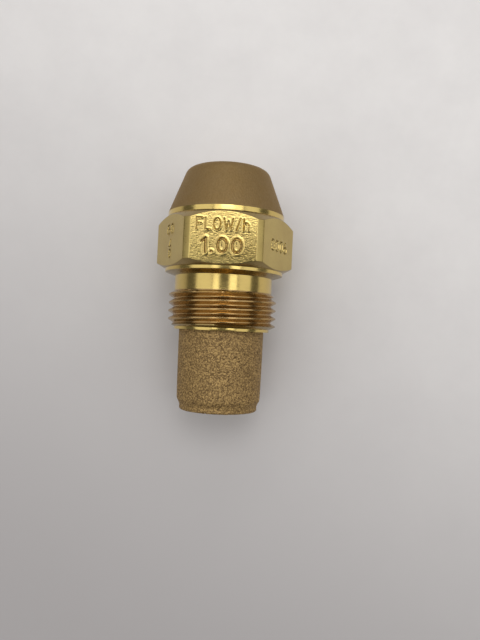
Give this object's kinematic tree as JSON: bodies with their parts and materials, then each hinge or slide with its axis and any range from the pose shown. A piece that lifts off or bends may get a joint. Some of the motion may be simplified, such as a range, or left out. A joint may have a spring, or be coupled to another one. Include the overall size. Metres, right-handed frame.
{
  "type": "oil burner nozzle",
  "caption": "Brass oil burner spray nozzle with hexagon, tapered tip, threaded rear and a sintered cup filter, with orifice disc, swirl cone and lock screw inside.",
  "frame": {"origin": "on the nozzle's axis, in the plane of the rear sealing face", "axes": "+Y along the axis towards the spray orifice, -Y towards the filter, +Z square to one hexagon flat"},
  "size_m": [0.018, 0.0319, 0.016],
  "materials": {
    "body_brass": "satin",
    "turned_brass": "turned",
    "stainless": "fine turned",
    "sintered_bronze": "granular matte"
  },
  "bodies": {
    "nozzle_body": {"nozzle_body": "body_brass"},
    "orifice_disc": {"orifice_disc": "stainless"},
    "swirl_cone": {"swirl_cone": "stainless"},
    "lock_screw": {"lock_screw": "turned_brass"},
    "filter": {"filter_nipple": "turned_brass", "sintered_filter": "sintered_bronze"}
  },
  "joints": [
    {"name": "orifice_disc_drop", "type": "slide", "parent": "nozzle_body", "child": "orifice_disc", "axis": [0, -1, 0], "range_m": [0, 0.022]},
    {"name": "swirl_cone_drop", "type": "slide", "parent": "orifice_disc", "child": "swirl_cone", "axis": [0, -1, 0], "range_m": [0, 0.021]},
    {"name": "lock_screw_unscrew", "type": "slide", "parent": "swirl_cone", "child": "lock_screw", "axis": [0, -1, 0], "range_m": [0, 0.017]},
    {"name": "filter_unscrew", "type": "slide", "parent": "lock_screw", "child": "filter", "axis": [0, -1, 0], "range_m": [0, 0.011]}
  ]
}
